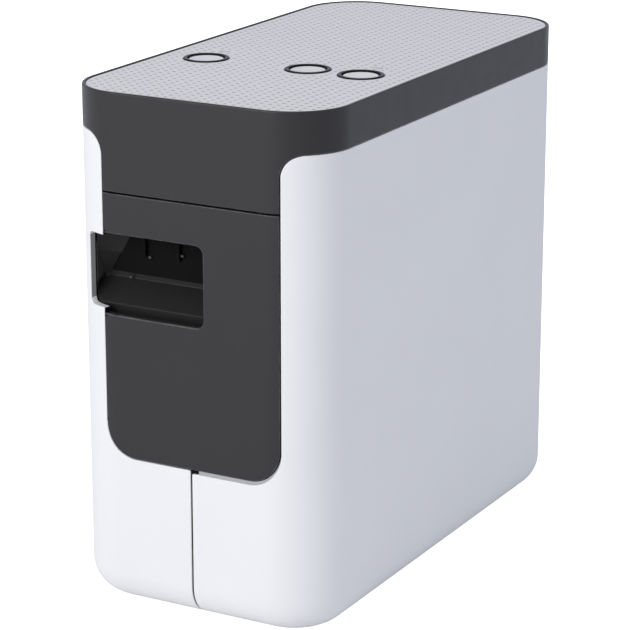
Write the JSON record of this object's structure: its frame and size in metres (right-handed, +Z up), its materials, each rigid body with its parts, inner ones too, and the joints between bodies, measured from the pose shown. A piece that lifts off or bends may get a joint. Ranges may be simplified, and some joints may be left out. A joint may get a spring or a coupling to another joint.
{
  "type": "desktop label maker",
  "caption": "Tall desktop tape label printer: dark band and front panel with a label exit, push buttons on top, a hinged tape-bay door, a cassette, print and cutter gears, battery bay.",
  "frame": {"origin": "centre of the footprint on the table, under the four feet", "axes": "+X the machine's right seen from the front, -Y the front with the label exit, +Z up"},
  "size_m": [0.078, 0.152, 0.143],
  "materials": {
    "white_shell": "fine satin white moulding",
    "dark_shell": "satin charcoal moulding",
    "grey_plate": "light grey sheet with a fine dot texture",
    "black_plastic": "matt black moulding",
    "gloss_black": "polished black",
    "grey_button": "satin grey",
    "light_pipe": "milky clear",
    "steel": "zinc-plated sheet and turned steel",
    "rubber": "matt black rubber",
    "gear_plastic": "natural acetal",
    "circuit_board": "green solder mask",
    "cassette_plastic": "grey moulding",
    "label_tape": "white laminated tape",
    "cell_sleeve": "printed sleeve, plain"
  },
  "bodies": {
    "machine": {"main_shell": "white_shell", "top_cap": "dark_shell", "top_plate": "grey_plate", "base_tray": "black_plastic", "inner_frame": "black_plastic", "exit_chute": "black_plastic", "power_socket": "black_plastic", "power_bezel": "gloss_black", "feed_bezel": "gloss_black", "mode_bezel": "gloss_black", "print_head": "gloss_black", "power_light_pipe": "light_pipe", "mode_light_pipe": "light_pipe", "base_screw_1": "steel", "base_screw_2": "steel", "base_screw_3": "steel", "base_screw_4": "steel", "hinge_pin_upper": "steel", "hinge_pin_lower": "steel", "drive_bracket": "steel", "drive_motor": "steel", "cutter_motor": "steel", "head_bracket": "steel", "fixed_blade": "steel", "usb_socket": "steel", "contact_strip_front": "steel", "contact_strip_rear": "steel", "foot_front_left": "rubber", "foot_front_right": "rubber", "foot_rear_left": "rubber", "foot_rear_right": "rubber", "button_board": "circuit_board", "main_board": "circuit_board", "socket_board": "circuit_board", "cassette_case": "cassette_plastic", "label_tape": "label_tape", "battery_1": "cell_sleeve", "battery_2": "cell_sleeve", "battery_3": "cell_sleeve", "battery_4": "cell_sleeve", "battery_5": "cell_sleeve", "battery_6": "cell_sleeve"},
    "tape_door": {"cover_shell": "white_shell", "cover_panel": "dark_shell", "cover_liner": "black_plastic"},
    "battery_door": {"battery_cover": "black_plastic"},
    "power_key": {"power_button": "grey_button"},
    "feed_key": {"feed_button": "grey_button"},
    "mode_key": {"mode_button": "grey_button"},
    "roller_arm": {"roller_holder": "black_plastic"},
    "platen": {"platen_shaft": "steel", "platen_roller": "rubber"},
    "idler": {"idler_gear": "gear_plastic"},
    "drive_pinion": {"motor_pinion": "gear_plastic"},
    "ribbon_drive": {"ribbon_spindle": "gear_plastic"},
    "tape_reel": {"tape_roll": "label_tape"},
    "cutter_wheel": {"cutter_gear": "gear_plastic"},
    "cutter_drive": {"cutter_pinion": "gear_plastic"},
    "blade_slide": {"blade_carrier": "black_plastic", "moving_blade": "steel"}
  },
  "joints": [
    {"name": "cover_hinge", "type": "hinge", "parent": "machine", "child": "tape_door", "pos_m": [-0.0365, 0.057, 0.0725], "axis": [0, 0, -1], "range_deg": [0, 90]},
    {"name": "battery_door_hinge", "type": "hinge", "parent": "machine", "child": "battery_door", "pos_m": [0, 0.0524, 0.0004], "axis": [1, 0, 0], "range_deg": [0, 90]},
    {"name": "power_press", "type": "slide", "parent": "machine", "child": "power_key", "axis": [0, 0, -1], "range_m": [0, 0.0008], "stiffness_N_per_m": 600, "springref_m": -0.0008},
    {"name": "feed_press", "type": "slide", "parent": "machine", "child": "feed_key", "axis": [0, 0, -1], "range_m": [0, 0.0008], "stiffness_N_per_m": 600, "springref_m": -0.0008},
    {"name": "mode_press", "type": "slide", "parent": "machine", "child": "mode_key", "axis": [0, 0, -1], "range_m": [0, 0.0008], "stiffness_N_per_m": 600, "springref_m": -0.0008},
    {"name": "roller_release", "type": "hinge", "parent": "machine", "child": "roller_arm", "pos_m": [-0.019, -0.0366, 0.1149], "axis": [-1, 0, 0], "range_deg": [0, 8]},
    {"name": "platen_spin", "type": "hinge", "parent": "roller_arm", "child": "platen", "pos_m": [-0.019, -0.048, 0.0997], "axis": [1, 0, 0], "continuous": true},
    {"name": "idler_spin", "type": "hinge", "parent": "machine", "child": "idler", "pos_m": [0.0013, -0.032, 0.0877], "axis": [1, 0, 0], "continuous": true},
    {"name": "drive_pinion_spin", "type": "hinge", "parent": "machine", "child": "drive_pinion", "pos_m": [0.0013, -0.024, 0.07293], "axis": [1, 0, 0], "continuous": true},
    {"name": "ribbon_spin", "type": "hinge", "parent": "machine", "child": "ribbon_drive", "pos_m": [0.0013, -0.012, 0.082], "axis": [1, 0, 0], "continuous": true},
    {"name": "tape_reel_spin", "type": "hinge", "parent": "machine", "child": "tape_reel", "pos_m": [-0.0187, 0.01, 0.064], "axis": [1, 0, 0], "continuous": true},
    {"name": "cutter_wheel_turn", "type": "hinge", "parent": "machine", "child": "cutter_wheel", "pos_m": [0.0098, -0.0605, 0.104], "axis": [0, -1, 0], "range_deg": [0, 79.6]},
    {"name": "cutter_drive_turn", "type": "hinge", "parent": "machine", "child": "cutter_drive", "pos_m": [0.0193, -0.0592, 0.0977], "axis": [0, -1, 0], "range_deg": [-299, 0]},
    {"name": "blade_stroke", "type": "slide", "parent": "machine", "child": "blade_slide", "axis": [0, 0, -1], "range_m": [0, 0.005]}
  ],
  "couplings": [
    {"joint": "roller_release", "follows": "cover_hinge", "ratio": 0.0888},
    {"joint": "platen_spin", "follows": "idler_spin", "ratio": -1.7778},
    {"joint": "drive_pinion_spin", "follows": "idler_spin", "ratio": -3.2},
    {"joint": "ribbon_spin", "follows": "idler_spin", "ratio": -1.6},
    {"joint": "tape_reel_spin", "follows": "idler_spin", "ratio": 0.41344},
    {"joint": "cutter_wheel_turn", "follows": "blade_stroke", "rad_per_m": 277.78},
    {"joint": "cutter_drive_turn", "follows": "blade_stroke", "rad_per_m": -1041.7}
  ]
}
